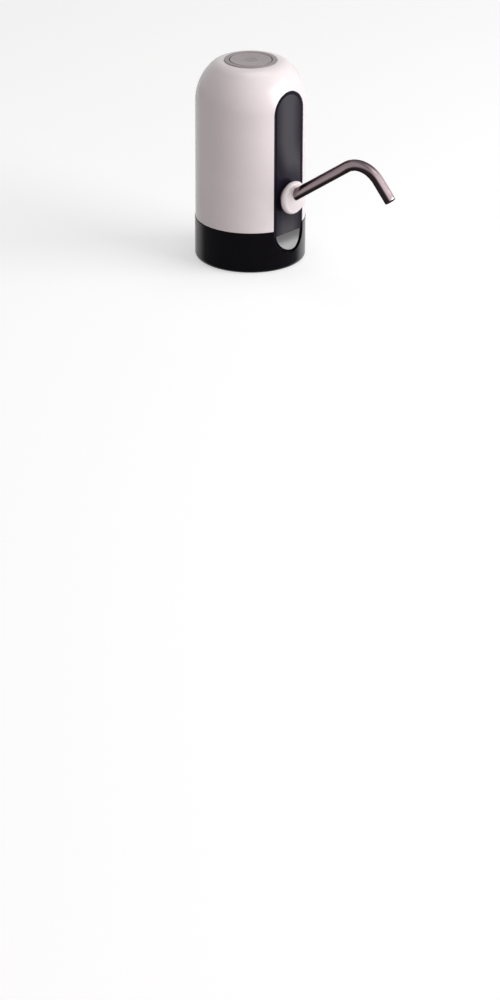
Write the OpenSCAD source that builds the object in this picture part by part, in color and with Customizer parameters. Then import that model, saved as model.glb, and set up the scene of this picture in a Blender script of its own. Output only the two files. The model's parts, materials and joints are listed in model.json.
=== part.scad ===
// Electric water jug pump.
// The frame: +Z up, +X towards the spout, origin in the middle of the mouth of the neck bore,
// on the plane that the foot stands on. Millimetres.

/* [Housing] */
// Outside diameter of the white housing
housing_d = 70; // [66:0.5:76]
// Wall thickness of the housing
housing_wall = 2.2; // [1.6:0.1:2.8]
// Height at which the straight wall turns into the dome
shoulder_z = 104; // [102:1:112]
// Radius of the lower arc of the dome
shoulder_r = 32; // [30:0.5:33]
// Radius of the upper arc of the dome
crown_r = 11; // [10:0.2:13]
// Thickness of the flat wall behind the front panel
front_wall_t = 2.5; // [1.5:0.1:3]

/* [Base] */
// How far the black ring stands proud of the housing
base_proud = 0.3; // [0.1:0.1:1]
// Height of the seam between the black ring and the housing
base_h = 27; // [25:0.5:29]
// Wall thickness of the black ring
base_wall = 3.2; // [3:0.1:3.6]
// Radius of the rounded lower edge
base_edge_r = 3; // [1:0.2:3]

/* [Front panel] */
// Width of the black front panel
panel_w = 26.9; // [22:0.5:29]
// Thickness of the front panel
panel_t = 2; // [1.2:0.1:2.5]
// How far the panel's lower end reaches below the seam
panel_drop = 4; // [3:0.5:5]
// Width of the lowered border round the panel
panel_border = 2.3; // [1:0.1:4]
// Depth of the lowered border
panel_step = 0.35; // [0.2:0.05:0.8]
// Radius of the half-moon scoop below the panel
scoop_r = 19.3; // [14:0.5:26]

/* [Neck] */
// Room from the neck's lip to the outside of the housing, on the radius
lip_room = 7.5; // [7:0.1:9]
// Clearance round the lip, on the radius
neck_clear = 0.4; // [0.2:0.05:0.5]
// Depth of the neck bore
neck_depth = 18; // [15:0.5:18]
// Wall thickness of the inner collar
collar_wall = 2.4; // [1.8:0.1:2.4]
// Thickness of the soft gasket
gasket_t = 2; // [1.5:0.1:2.5]
// Width of the seat above the gasket
seat_w = 6.9; // [6.5:0.1:8]
// Height of the deck above the seam
deck_lift = 2; // [1:0.5:3]

/* [Spout] */
// Height of the spout's plug above the seam
spout_lift = 20.6; // [20:0.2:24]
// Outside diameter of the steel tube
tube_d = 7.2; // [6:0.2:8]
// Wall of the steel tube
tube_wall = 0.7; // [0.5:0.1:1]
// Angle at which the tube rises
rise_angle = 34.3; // [25:1:45]
// Length of the rising leg, from the plug's axis
rise_len = 54.8; // [45:0.2:75]
// Angle at which the tube falls after its bend
fall_angle = 47; // [20:1:60]
// Length of the falling leg
fall_len = 14.6; // [10:0.2:35]
// Bend radius of the tube's centre line
bend_r = 20.5; // [12:0.5:25]
// Diameter of the white knob
knob_d = 21.4; // [19:0.5:24]
// Thickness of the knob's rim
knob_t = 4.5; // [4:0.25:6]
// Height of the dome on the knob's face
knob_dome = 1.2; // [0.6:0.1:2]
// Gap between the panel and the back of the knob
knob_gap = 2.1; // [1.5:0.1:3]
// Diameter of the spigot that plugs in
spigot_d = 10; // [9:0.5:10]
// Length of the spigot behind the panel's face
spigot_l = 11.4; // [10:0.2:12]

/* [Button] */
// Diameter of the grey ring round the button
bezel_d = 33.5; // [32:0.5:34]
// Diameter of the push button
button_d = 26.4; // [24:0.4:27.2]
// How far the ring and the button stand above the dome
button_rise = 0.5; // [0.2:0.1:1]
// Travel of the button
button_travel = 1.2; // [0.6:0.1:1.4]
// Depth of the dish in the button
button_dish = 0.5; // [0.2:0.1:0.8]
// Diameter of the lens in the button
lens_d = 8; // [5:0.5:9]

/* [Gear pump] */
// Pitch radius of the gears
gear_pitch_r = 5; // [5:0.1:5.2]
// Thickness of the gears
gear_h = 6; // [5:0.5:7]
// Wall round the gear chambers
chamber_wall = 3.2; // [2.8:0.1:3.6]
// Length of each hose nipple
nipple_l = 6; // [4:0.5:6]
// Gap between the two nipples inside the outlet hose
hose_gap = 2.5; // [1:0.5:4]

/* [Motor] */
// Diameter of the motor can
motor_d = 24.2; // [22:0.2:25]
// Length of the motor can
motor_l = 28; // [26:0.5:32]
// Diameter of the motor shaft
shaft_d = 2; // [2:0.1:2.4]

/* [Battery and boards] */
// Diameter of the battery cell
cell_d = 18.5; // [18:0.1:18.6]
// Length of the battery cell
cell_l = 65; // [60:0.5:66]
// Thickness of the circuit boards
board_t = 1.6; // [1:0.1:1.8]
// Width of the charging port in the housing
port_w = 12; // [10:0.5:13]
// Height of the charging port in the housing
port_h = 7.5; // [6:0.5:8]
// Depth of the charging socket's mouth behind the housing's back
port_depth = 4.6; // [4.4:0.1:5.5]

/* [Fits] */
// Radial clearance of turning and sliding fits
run_gap = 0.05; // [0.03:0.01:0.08]
// Clearance between pieces that stand still beside each other
seat_gap = 0.1; // [0.05:0.05:0.2]
// Clearance between pieces that move past each other
move_gap = 0.35; // [0.3:0.05:0.5]

/* [Hidden] */
$fn = 96;

// A cut goes this far past the face it opens
over = 1;

// Rounding of the small edges that show
edge_r = 0.3;

// Derived places are kept to a thousandth, so that faces which should meet do meet
function tidy(v) = round(v * 1000) / 1000;

// Housing. The dome's upper arc leaves the lower one along the long side of a 20, 21, 29 triangle,
// so the two arcs meet exactly.
arc_run = [20, 21];
arc_long = norm(arc_run);
housing_r = housing_d / 2;
inner_r = housing_r - housing_wall;
mid_wall_r = housing_r - housing_wall / 2;
arc_step = tidy((shoulder_r - crown_r) / arc_long);
lower_c = [housing_r - shoulder_r, shoulder_z];
upper_c = lower_c + arc_step * arc_run;
upper_r = shoulder_r - arc_step * arc_long;
top_z = upper_c[1] + upper_r;

// Front panel: its face lies where the panel's pocket meets the round wall
panel_foot_z = base_h - panel_drop;
pocket_hw = panel_w / 2 + seat_gap;
panel_x = tidy(sqrt(pow(housing_r, 2) - pow(pocket_hw, 2)));
wall_front_x = panel_x - panel_t;
wall_back_x = wall_front_x - front_wall_t;
arch_top_z = tidy(shoulder_z + sqrt(pow(shoulder_r, 2) - pow(panel_x - lower_c[0], 2)));
arch_z = arch_top_z - pocket_hw;

// Base, collar and deck
base_r = housing_r + base_proud;
base_in_r = base_r - base_wall;
pad_z = 4;
moon_r = pocket_hw - panel_border - seat_gap;
scoop_drop = sqrt(pow(scoop_r, 2) - pow(scoop_r - base_r + panel_x, 2));
moon_z = tidy(panel_foot_z - scoop_drop + moon_r);
neck_r = housing_r - lip_room + neck_clear;
collar_r = neck_r + collar_wall;
gasket_z = neck_depth + gasket_t;
gasket_lap = 0.6;
groove_r = neck_r + gasket_lap;
ledge_t = 2;
shelf_t = 4;
shelf_z = gasket_z + shelf_t;
foot_flange_t = 2.2;
well_r = neck_r - seat_w;
well_wall = 2.2;
deck_z = base_h + deck_lift;
deck_t = 2.4;
deck_top = deck_z + deck_t;
deck_r = inner_r - 4 * seat_gap;

// Screws that close the housing, from below
post_r = 3;
post_h = 9.5;
post_rib_t = 2;
post_ring_r = well_r + well_wall + 0.75 * post_r;
post_angles = [35, 145, 215, 325];
screw_r = 1.5;
screw_head_r = 2.5;
screw_head_h = 2;
screw_spare = 1.5;

// Spout: the plug's axis runs along X at spout_z
spout_z = base_h + spout_lift;
tube_r = tube_d / 2;
spigot_r = spigot_d / 2;
spigot_bore_r = 2.4;
socket_r = spigot_r + run_gap;
port_wall = 2;
port_r = socket_r + port_wall;
port_end_t = 2.9;
port_tail_x = panel_x - spigot_l - port_end_t;
flange_w = 3.7;
flange_r = port_r + flange_w;
flange_t = 2.5;
port_screw_y = port_r + flange_w / 2;
port_screw_r = 0.85;
port_screw_in = 0.7 * front_wall_t;
port_hole_l = 0.8 * front_wall_t;
port_head_r = 1.7;
port_head_h = 1.2;
knee_in = 0.55;
knee_out = knob_gap + knee_in;
tube_start = 1;
bend_turn = rise_angle + fall_angle;
knob_rim_r = knob_t / 2;
knob_neck_w = 1.3;
knob_neck_r = spigot_r + knob_neck_w;
knob_flat = 0.5;
ring_wire_r = 0.7;
ring_h = -7.6;
groove_floor_r = spigot_r - 2 * ring_wire_r - 2 * run_gap;
groove_w = 2 * ring_wire_r + 2 * run_gap;

// Gear pump, placed from the outlet port through the length of the outlet hose
gear_teeth = 10;
gear_pitch = 360 / gear_teeth;
tooth_top = 0.85;
tooth_foot = 1.35;
// Half widths of a tooth at its root, its pitch circle and its tip, as parts of the pitch
tooth_part = [0.31, 0.2, 0.085];
chamber_gap = 0.2;
chamber_r = gear_pitch_r + tooth_top + chamber_gap;
pump_r = chamber_r + chamber_wall;
pump_x = port_tail_x - 2 * nipple_l - hose_gap - pump_r;
gear_y = gear_pitch_r + run_gap;
chamber_z = spout_z - gear_h / 2 - run_gap;
chamber_h = gear_h + 2 * run_gap;
cover_t = 3.1;
cover_z = chamber_z - cover_t;
pump_roof_t = 3.7;
pump_top = chamber_z + chamber_h + pump_roof_t;
pump_screw_r = 1.25;
pump_head_r = 2;
pump_head_h = 1.8;
ear_y = gear_y + pump_r + pump_head_r + 4 * seat_gap;
ear_r = 3;
ear_h = 2.5;
nipple_r = 2.9;
nipple_bore_r = 2;
hose_wall = 1.5;
hose_r = nipple_r + hose_wall;
inlet_in = 0.4;
inlet_x = pump_x - gear_pitch_r + inlet_in;
inlet_nipple_l = 3;
shaft_r = shaft_d / 2;
pin_depth = 1.6;
seal_r = 3;
seal_h = 2.2;

// Barbed inlet
barb_lip = 0.8;
barb_count = 3;
barb_lift = 1;
barb_z = neck_depth + barb_lift;
thread_w = 1.1;
thread_r = nipple_r + thread_w;
barb_flange_w = 3.1;
barb_flange_r = nipple_r + barb_flange_w;
barb_flange_t = 1.8;
nut_w = 3.4;
nut_r = nipple_r + nut_w;
nut_h = 2.6;

// Motor
motor_r = motor_d / 2;
can_wall = 0.8;
motor_top = pump_top + motor_l;
cap_t = 3;
tab_w = 3;
tab_t = 0.5;
tab_h = 4;
bush_r = 3;
bush_h = 2.4;
magnet_t = 2.2;
magnet_h = 16;
magnet_arc = 130;
magnet_lift = 5;
core_gap = 0.8;
core_r = motor_r - can_wall - magnet_t - core_gap;
core_h = 14;
core_lift = 6;
core_slot_w = 2;
commutator_wall = 1.6;
commutator_h = 5;

// Battery and boards
cell_r = cell_d / 2;
cell_ring_r = inner_r - cell_r - 4 * seat_gap;
cell_angle = 70;
cell_at = [tidy(cell_ring_r * cos(cell_angle)), tidy(cell_ring_r * sin(cell_angle))];
cell_cap_r = 3;
cell_cap_h = 0.8;
cradle_t = 1.3;
cradle_drop = 2;
cradle_h = cell_l - cradle_drop;
cradle_cut = 2;
socket_mouth_x = port_depth - housing_r;
socket_l = 7.4;
socket_w = 9;
socket_h = 3.3;
socket_shell_t = 0.35;
tongue_t = 0.7;
frame_x = socket_mouth_x + 2 * seat_gap;
frame_t = 1.4;
charge_lift = 4;
charge_z = deck_top + charge_lift;
charge_w = 18;
charge_x = frame_x + frame_t + 2 * seat_gap;
charge_l = 7.6;
charge_screw_in = [3, 2.5];
charge_screw_x = charge_x + charge_l - charge_screw_in[0];
charge_screw_y = charge_w / 2 - charge_screw_in[1];
charge_post_r = 2;
small_screw_r = 0.85;
small_head_r = 1.8;
small_head_h = 1.4;
port_z = charge_z + board_t + socket_h / 2;
control_boss_r = 2.6;
control_boss_drop = 1.6 * housing_wall;
control_boss_out = 4.5;
control_ring_r = upper_c[0] + control_boss_out;
control_margin = 3;
control_r = control_ring_r + control_margin;
control_drop = 14.3;
control_z = top_z - control_drop;
control_top = control_z + board_t;
control_angles = [60, 180, 300];
control_screw_l = 5;
switch_w = 6;
switch_h = 3.5;
plunger_r = 1.75;
plunger_h = 2;
plunger_sink = 0.4;
led_r = 1.5;
led_h = 2;
led_x = 8;

// Button and its ring
bezel_r = bezel_d / 2;
button_r = button_d / 2;
button_top = top_z + button_rise;
ring_gap = 0.5;
bezel_in_r = button_r + ring_gap;
bezel_flange_w = 1.6;
bezel_flange_r = bezel_r + bezel_flange_w;
bezel_flange_t = 1.5;
bezel_foot_z = top_z - housing_wall - move_gap - bezel_flange_t;
button_lip_w = 1.4;
button_lip_r = button_r + button_lip_w;
button_lip_t = 1.4;
button_lip_z = bezel_foot_z - move_gap - button_lip_t;
button_plate_t = 2;
button_wall = 1.6;
dish_r = (pow(button_r, 2) + pow(button_dish, 2)) / (2 * button_dish);
stem_r = 2.2;
stem_foot_z = control_top + switch_h + plunger_h;
lens_t = 0.9;

// A flat shape in Y and Z, drawn out along +X
module along_x(length) {
    rotate([90, 0, 90]) linear_extrude(length) children();
}

// A round rod along +X
module rod_x(r, length) {
    rotate([0, 90, 0]) cylinder(r = r, h = length);
}

// A body of revolution round the plug's axis, its profile's height measured along +X from the panel's face
module round_plug() {
    translate([panel_x, 0, spout_z]) rotate([0, 90, 0]) rotate_extrude() children();
}

// Half outline of the housing, drawn in by inset, down to foot
module housing_2d(inset, foot) {
    split = 5 * arc_run;
    translate([0, foot]) square([housing_r - inset, shoulder_z - foot]);
    translate(lower_c) intersection() {
        circle(shoulder_r - inset);
        polygon([[0, 0], [split[0], 0], split]);
    }
    translate(upper_c) intersection() {
        circle(upper_r - inset);
        polygon([[0, 0], split, [0, split[1]]]);
    }
    polygon([[0, shoulder_z], lower_c, upper_c, [upper_c[0], top_z - inset], [0, top_z - inset]]);
}

// Outline of the front panel in Y and Z
module panel_2d(half_w, foot) {
    translate([-half_w, foot]) square([2 * half_w, arch_z - foot]);
    translate([0, arch_z]) circle(half_w);
}

// What rounds an upper outer corner of a half outline, to be cut away
module corner_2d(r, z) {
    translate([r - edge_r, z - edge_r]) difference() {
        square(edge_r + over);
        circle(edge_r);
    }
}

// The same for a flat bevel
module bevel_2d(r, z) {
    far = edge_r + over;
    polygon([[r - far, z + over], [r + over, z + over], [r + over, z - far]]);
}

module at_posts() {
    for (a = post_angles) rotate(a) translate([post_ring_r, 0, 0]) children();
}

module at_control_bosses() {
    for (a = control_angles) rotate(a) translate([control_ring_r, 0, 0]) children();
}

module at_pump_ears() {
    for (s = [-1, 1]) translate([pump_x, s * ear_y, 0]) children();
}

module at_charge_screws() {
    for (s = [-1, 1]) translate([charge_screw_x, s * charge_screw_y, 0]) children();
}

module at_port_screws() {
    for (s = [-1, 1]) translate([wall_back_x, s * port_screw_y, spout_z]) children();
}

module housing_posts() {
    post_z = deck_top + seat_gap;
    at_posts() translate([0, 0, post_z]) cylinder(r = post_r, h = post_h);
    intersection() {
        translate([0, 0, post_z + post_rib_t]) cylinder(r = mid_wall_r, h = post_h - 2 * post_rib_t);
        at_posts() translate([0, -post_rib_t / 2, 0]) cube([housing_r, post_rib_t, top_z]);
    }
    at_control_bosses() translate([0, 0, control_top])
        cylinder(r = control_boss_r, h = top_z - control_top - control_boss_drop);
}

module housing_shell() {
    color("whitesmoke") difference() {
        union() {
            rotate_extrude() difference() {
                housing_2d(0, base_h);
                housing_2d(housing_wall, base_h - over);
                translate([0, 2 * base_h]) mirror([0, 1]) bevel_2d(housing_r, base_h);
            }
            intersection() {
                rotate_extrude() housing_2d(housing_wall / 2, base_h);
                translate([wall_back_x, -housing_r, base_h])
                    cube([front_wall_t, housing_d, top_z]);
            }
            housing_posts();
        }
        translate([wall_front_x, 0, 0]) along_x(housing_r) panel_2d(pocket_hw, 0);
        translate([0, 0, top_z - 4 * housing_wall])
            cylinder(r = bezel_r + seat_gap, h = 8 * housing_wall);
        translate([0, 0, spout_z]) rod_x(port_r + seat_gap, housing_r);
        translate([-housing_r - over, -port_w / 2, port_z - port_h / 2])
            cube([2 * housing_wall + over, port_w, port_h]);
        at_posts() translate([0, 0, deck_top]) cylinder(r = screw_r, h = post_h - screw_spare);
        at_control_bosses() translate([0, 0, control_top - over])
            cylinder(r = small_screw_r + seat_gap, h = control_screw_l + 2 * over);
        at_port_screws() translate([-over, 0, 0])
            rod_x(port_screw_r + run_gap, port_hole_l + over);
    }
}

module front_panel() {
    color([0.04, 0.04, 0.05]) difference() {
        translate([wall_front_x, 0, 0]) {
            along_x(panel_t - panel_step) panel_2d(panel_w / 2, panel_foot_z);
            along_x(panel_t) panel_2d(panel_w / 2 - panel_border, panel_foot_z);
        }
        translate([0, 0, spout_z]) rod_x(port_r + seat_gap, housing_r);
    }
}

module base_skirt() {
    color([0.03, 0.03, 0.035]) difference() {
        union() {
            rotate_extrude() {
                difference() {
                    translate([base_in_r, base_edge_r]) square([base_wall, base_h - base_edge_r]);
                    bevel_2d(base_r, base_h);
                }
                translate([base_in_r, 0]) square([base_wall - base_edge_r, base_h]);
                intersection() {
                    translate([base_r - base_edge_r, base_edge_r]) circle(base_edge_r);
                    translate([base_r - base_edge_r, 0]) square(base_edge_r);
                }
                // Ledge that rests on the collar's rim
                translate([collar_r + move_gap, shelf_z]) square([base_in_r - collar_r, ledge_t]);
            }
            // Pad behind the scoop
            intersection() {
                cylinder(r = base_r - base_wall / 2, h = panel_foot_z);
                translate([collar_r + 2 * seat_gap, -pocket_hw - over, pad_z])
                    cube([base_r, 2 * pocket_hw + 2 * over, panel_foot_z]);
            }
        }
        translate([wall_front_x, -pocket_hw, panel_foot_z]) cube([housing_r, 2 * pocket_hw, base_h]);
        // The panel's border goes on round the half-moon, whose face curves out to the ring
        difference() {
            translate([panel_x - panel_step, 0, moon_z]) rod_x(pocket_hw, housing_r);
            difference() {
                translate([panel_x - panel_t, 0, moon_z]) rod_x(moon_r, housing_r);
                translate([panel_x + scoop_r, pocket_hw, panel_foot_z]) rotate([90, 0, 0])
                    cylinder(r = scoop_r, h = 2 * pocket_hw);
            }
        }
    }
}

module neck_collar() {
    rim_r = base_in_r - 3 * seat_gap;
    front_x = wall_front_x - 3 * seat_gap;
    color([0.1, 0.1, 0.11]) difference() {
        union() {
            rotate_extrude() {
                translate([neck_r, 0]) square([collar_wall, neck_depth]);
                translate([groove_r, 0]) square([collar_r - groove_r, shelf_z]);
                translate([neck_r, 0]) square([base_in_r - seat_gap - neck_r, foot_flange_t]);
                translate([well_r, gasket_z]) square([collar_r - well_r, shelf_t]);
                translate([collar_r - over, shelf_z - ledge_t]) square([rim_r - collar_r + over, ledge_t]);
                translate([well_r, gasket_z]) square([well_wall, deck_z - gasket_z]);
            }
            at_posts() translate([0, 0, shelf_z - over])
                cylinder(r = post_r, h = deck_z - shelf_z + over);
        }
        at_posts() translate([0, 0, gasket_z - over]) {
            cylinder(r = screw_r + seat_gap, h = deck_z - gasket_z + 2 * over);
            cylinder(r = screw_head_r + seat_gap, h = screw_head_h + over);
        }
        // Room for the foot of the panel and the pad below it
        translate([front_x, -housing_r / 2, shelf_z - ledge_t - over])
            cube([housing_r, housing_r, ledge_t + 2 * over]);
    }
}

module neck_gasket() {
    color([0.45, 0.46, 0.47]) translate([0, 0, neck_depth]) difference() {
        cylinder(r = groove_r - seat_gap, h = gasket_t);
        translate([0, 0, -over]) cylinder(r = well_r + gasket_lap, h = gasket_t + 2 * over);
    }
}

// A seat that holds the cell's inner side
module battery_cradle() {
    tall = cradle_h + 3 * over;
    translate([cell_at[0], cell_at[1], deck_top - over]) difference() {
        cylinder(r = cell_r + seat_gap + cradle_t, h = cradle_h + over);
        translate([0, 0, -over]) cylinder(r = cell_r + seat_gap, h = tall);
        rotate(cell_angle) translate([-cradle_cut, -housing_r, -over]) cube([housing_r, housing_d, tall]);
    }
}

module chassis_deck() {
    color([0.82, 0.82, 0.8]) difference() {
        union() {
            intersection() {
                translate([0, 0, deck_z]) cylinder(r = deck_r, h = deck_t);
                translate([-housing_r, -housing_r, 0])
                    cube([housing_r + wall_back_x - move_gap, housing_d, top_z]);
            }
            at_pump_ears() translate([0, 0, deck_top - over])
                cylinder(r = ear_r, h = cover_z - deck_top + over);
            at_charge_screws() translate([0, 0, deck_top - over])
                cylinder(r = charge_post_r, h = charge_lift + over);
            battery_cradle();
        }
        at_posts() translate([0, 0, deck_z - over]) cylinder(r = screw_r + seat_gap, h = deck_t + 2 * over);
        translate([inlet_x, 0, deck_z - over]) cylinder(r = thread_r + seat_gap, h = deck_t + 2 * over);
        at_pump_ears() translate([0, 0, deck_top + over]) cylinder(r = pump_screw_r + run_gap, h = cover_z);
        at_charge_screws() translate([0, 0, deck_top + over / 2])
            cylinder(r = small_screw_r + run_gap, h = charge_z);
    }
}

module inlet_barb() {
    flange_z = deck_z - barb_flange_t;
    barb_step = (flange_z - barb_z) / barb_count;
    thread_top = deck_top + nut_h + 2 * seat_gap;
    nipple_top = deck_top + nipple_l;
    teeth = [for (i = [0 : barb_count - 1]) each [[nipple_r, barb_z + i * barb_step],
        [nipple_r + barb_lip, barb_z + (i + 1) * barb_step]]];
    color([0.9, 0.9, 0.88]) translate([inlet_x, 0, 0]) rotate_extrude() polygon([
        [nipple_bore_r, barb_z],
        each teeth,
        [barb_flange_r, flange_z],
        [barb_flange_r, deck_z],
        [thread_r, deck_z],
        [thread_r, thread_top],
        [nipple_r, thread_top],
        [nipple_r, nipple_top],
        [nipple_bore_r, nipple_top]
    ]);
}

module barb_nut() {
    color([0.9, 0.9, 0.88]) translate([inlet_x, 0, deck_top]) difference() {
        cylinder(r = nut_r, h = nut_h, $fn = 6);
        translate([0, 0, -over]) cylinder(r = thread_r + run_gap, h = nut_h + 2 * over);
    }
}

module hose_piece(length) {
    difference() {
        cylinder(r = hose_r, h = length);
        translate([0, 0, -over]) cylinder(r = nipple_r + run_gap, h = length + 2 * over);
    }
}

module inlet_hose() {
    foot = deck_top + nut_h + 4 * seat_gap;
    color([0.85, 0.86, 0.85]) translate([inlet_x, 0, foot]) hose_piece(cover_z - 2 * seat_gap - foot);
}

// Outline of the pump: two round chambers side by side
module pump_2d() {
    for (s = [-1, 1]) translate([0, s * gear_y]) circle(pump_r);
    translate([-pump_r, -gear_y]) square([2 * pump_r, 2 * gear_y]);
}

// Outline of the two ears that the pump is screwed down by
module pump_ears_2d() {
    for (s = [-1, 1]) translate([0, s * ear_y]) circle(ear_r);
    translate([-ear_r, -ear_y]) square([2 * ear_r, 2 * ear_y]);
}

module pump_cover() {
    ear_hole_r = pump_screw_r + 2 * seat_gap;
    color([0.2, 0.2, 0.21]) difference() {
        union() {
            translate([pump_x, 0, cover_z]) linear_extrude(cover_t) union() {
                pump_2d();
                pump_ears_2d();
            }
            translate([inlet_x, 0, cover_z - inlet_nipple_l])
                cylinder(r = nipple_r, h = inlet_nipple_l + over);
        }
        translate([inlet_x, 0, cover_z - inlet_nipple_l - over])
            cylinder(r = nipple_bore_r, h = cover_t + inlet_nipple_l + 2 * over);
        translate([pump_x, -gear_y, chamber_z - pin_depth]) cylinder(r = shaft_r + run_gap, h = cover_t);
        translate([pump_x, gear_y, chamber_z - pin_depth]) cylinder(r = shaft_r, h = cover_t);
        at_pump_ears() translate([0, 0, cover_z - over]) cylinder(r = ear_hole_r, h = cover_t + 2 * over);
    }
}

module pump_housing() {
    ear_hole_r = pump_screw_r + 2 * seat_gap;
    pump_h = pump_top - chamber_z;
    color([0.24, 0.24, 0.25]) difference() {
        union() {
            translate([pump_x, 0, chamber_z]) linear_extrude(pump_h) pump_2d();
            translate([pump_x, 0, chamber_z]) linear_extrude(ear_h) pump_ears_2d();
            translate([pump_x + pump_r - over, 0, spout_z]) rod_x(nipple_r, nipple_l + over);
        }
        for (s = [-1, 1]) translate([pump_x, s * gear_y, chamber_z - over])
            cylinder(r = chamber_r, h = chamber_h + over);
        translate([inlet_x, 0, chamber_z - over]) cylinder(r = nipple_bore_r, h = chamber_h);
        translate([pump_x + nipple_bore_r, 0, spout_z]) rod_x(nipple_bore_r, pump_r + nipple_l);
        translate([pump_x, -gear_y, chamber_z]) cylinder(r = shaft_r + run_gap, h = pump_h + over);
        translate([pump_x, -gear_y, pump_top - seal_h]) cylinder(r = seal_r, h = seal_h + over);
        translate([pump_x, gear_y, chamber_z]) cylinder(r = shaft_r, h = chamber_h + pin_depth);
        at_pump_ears() translate([0, 0, chamber_z - over]) cylinder(r = ear_hole_r, h = ear_h + 2 * over);
    }
}

// One gear, with straight-sided teeth and a tooth at the angle turn
module gear_2d(turn) {
    root = [gear_pitch_r - tooth_foot, tooth_part[0] * gear_pitch];
    flank = [gear_pitch_r, tooth_part[1] * gear_pitch];
    tip = [gear_pitch_r + tooth_top, tooth_part[2] * gear_pitch];
    rows = [[root, -1], [flank, -1], [tip, -1], [tip, 1], [flank, 1], [root, 1]];
    function spot(i, p) = turn + i * gear_pitch + p[1] * p[0][1];
    polygon([for (i = [0 : gear_teeth - 1]) for (p = rows) p[0][0] * [cos(spot(i, p)), sin(spot(i, p))]]);
}

module drive_gear() {
    color([0.95, 0.94, 0.88]) translate([pump_x, -gear_y, chamber_z + run_gap]) difference() {
        linear_extrude(gear_h) gear_2d(90);
        translate([0, 0, -over]) cylinder(r = shaft_r, h = gear_h + 2 * over);
    }
}

// Half a pitch on from facing the drive gear, so that a gap meets its tooth
module idler_gear() {
    color([0.9, 0.88, 0.8]) translate([pump_x, gear_y, chamber_z + run_gap]) difference() {
        linear_extrude(gear_h) gear_2d(gear_pitch / 2 - 90);
        translate([0, 0, -over]) cylinder(r = shaft_r + run_gap, h = gear_h + 2 * over);
    }
}

module idler_pin() {
    color([0.7, 0.71, 0.73]) translate([pump_x, gear_y, chamber_z - pin_depth])
        cylinder(r = shaft_r, h = chamber_h + 2 * pin_depth);
}

module shaft_seal() {
    color([0.15, 0.15, 0.15]) translate([pump_x, -gear_y, pump_top - seal_h]) difference() {
        cylinder(r = seal_r, h = seal_h);
        translate([0, 0, -over]) cylinder(r = shaft_r + run_gap, h = seal_h + 2 * over);
    }
}

module motor_can() {
    color([0.72, 0.73, 0.75]) translate([pump_x, -gear_y, pump_top]) difference() {
        cylinder(r = motor_r, h = motor_l);
        translate([0, 0, can_wall]) cylinder(r = motor_r - can_wall, h = motor_l);
        translate([0, 0, -over]) cylinder(r = shaft_r + move_gap, h = can_wall + 2 * over);
    }
}

module motor_end_cap() {
    tab_x = 0.6 * motor_r;
    color([0.12, 0.12, 0.12]) translate([pump_x, -gear_y, motor_top]) difference() {
        union() {
            cylinder(r = motor_r - can_wall / 2, h = cap_t);
            for (s = [-1, 1]) translate([s * tab_x - tab_w / 2, -tab_t / 2, cap_t - over])
                cube([tab_w, tab_t, tab_h + over]);
        }
        translate([0, 0, -over]) cylinder(r = bush_r, h = bush_h + over);
    }
}

module motor_magnets() {
    outer = motor_r - can_wall - seat_gap;
    color([0.3, 0.3, 0.32]) translate([pump_x, -gear_y, pump_top + magnet_lift])
        for (a = [-magnet_arc / 2, 180 - magnet_arc / 2]) rotate(a) rotate_extrude(angle = magnet_arc)
            translate([outer - magnet_t, 0]) square([magnet_t, magnet_h]);
}

module motor_bushes() {
    color([0.75, 0.55, 0.25]) translate([pump_x, -gear_y, 0])
        for (z = [pump_top + can_wall, motor_top]) translate([0, 0, z]) difference() {
            cylinder(r = bush_r, h = bush_h);
            translate([0, 0, -over]) cylinder(r = shaft_r + run_gap, h = bush_h + 2 * over);
        }
}

module motor_shaft() {
    foot = chamber_z - pin_depth + seat_gap;
    color([0.8, 0.81, 0.83]) translate([pump_x, -gear_y, foot])
        cylinder(r = shaft_r, h = motor_top + bush_h - foot);
}

module armature() {
    color([0.62, 0.35, 0.2]) translate([pump_x, -gear_y, pump_top + core_lift]) difference() {
        union() {
            cylinder(r = core_r, h = core_h);
            cylinder(r = shaft_r + commutator_wall, h = core_h + commutator_h);
        }
        for (a = [0, 120, 240]) rotate(a) translate([core_r / 2, -core_slot_w / 2, -over])
            cube([core_r, core_slot_w, core_h + 2 * over]);
        translate([0, 0, -over]) cylinder(r = shaft_r, h = motor_l);
    }
}

module outlet_hose() {
    start = pump_x + pump_r + 4 * seat_gap;
    color([0.85, 0.86, 0.85]) translate([start, 0, spout_z]) rotate([0, 90, 0])
        hose_piece(port_tail_x - 4 * seat_gap - start);
}

module outlet_port() {
    wall_h = wall_back_x - panel_x;
    tail_h = port_tail_x - panel_x;
    floor_h = -spigot_l - 2 * move_gap;
    color([0.88, 0.88, 0.86]) difference() {
        round_plug() difference() {
            union() {
                translate([0, tail_h]) square([port_r, -tail_h]);
                translate([0, wall_h - flange_t]) square([flange_r, flange_t]);
                translate([0, tail_h - nipple_l]) square([nipple_r, nipple_l + over]);
            }
            translate([0, floor_h]) square([socket_r, over - floor_h]);
            translate([0, tail_h - nipple_l - over]) square([nipple_bore_r, spigot_l]);
        }
        at_port_screws() translate([-flange_t - over, 0, 0])
            rod_x(port_screw_r + seat_gap, flange_t + 2 * over);
    }
}

module port_screws() {
    color([0.75, 0.76, 0.78]) at_port_screws() translate([-flange_t, 0, 0]) {
        translate([-port_head_h, 0, 0]) rod_x(port_head_r, port_head_h);
        translate([-port_head_h / 2, 0, 0]) rod_x(port_screw_r, flange_t + port_screw_in + port_head_h / 2);
    }
}

module spout_o_ring() {
    color([0.12, 0.12, 0.13]) round_plug()
        translate([spigot_r - ring_wire_r, ring_h]) circle(ring_wire_r, $fn = 48);
}

// The rising direction of the tube as +Z, from where its axis meets the plug's axis
module at_knee() {
    translate([panel_x + knee_out, 0, spout_z]) rotate([0, 90 - rise_angle, 0]) children();
}

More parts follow.
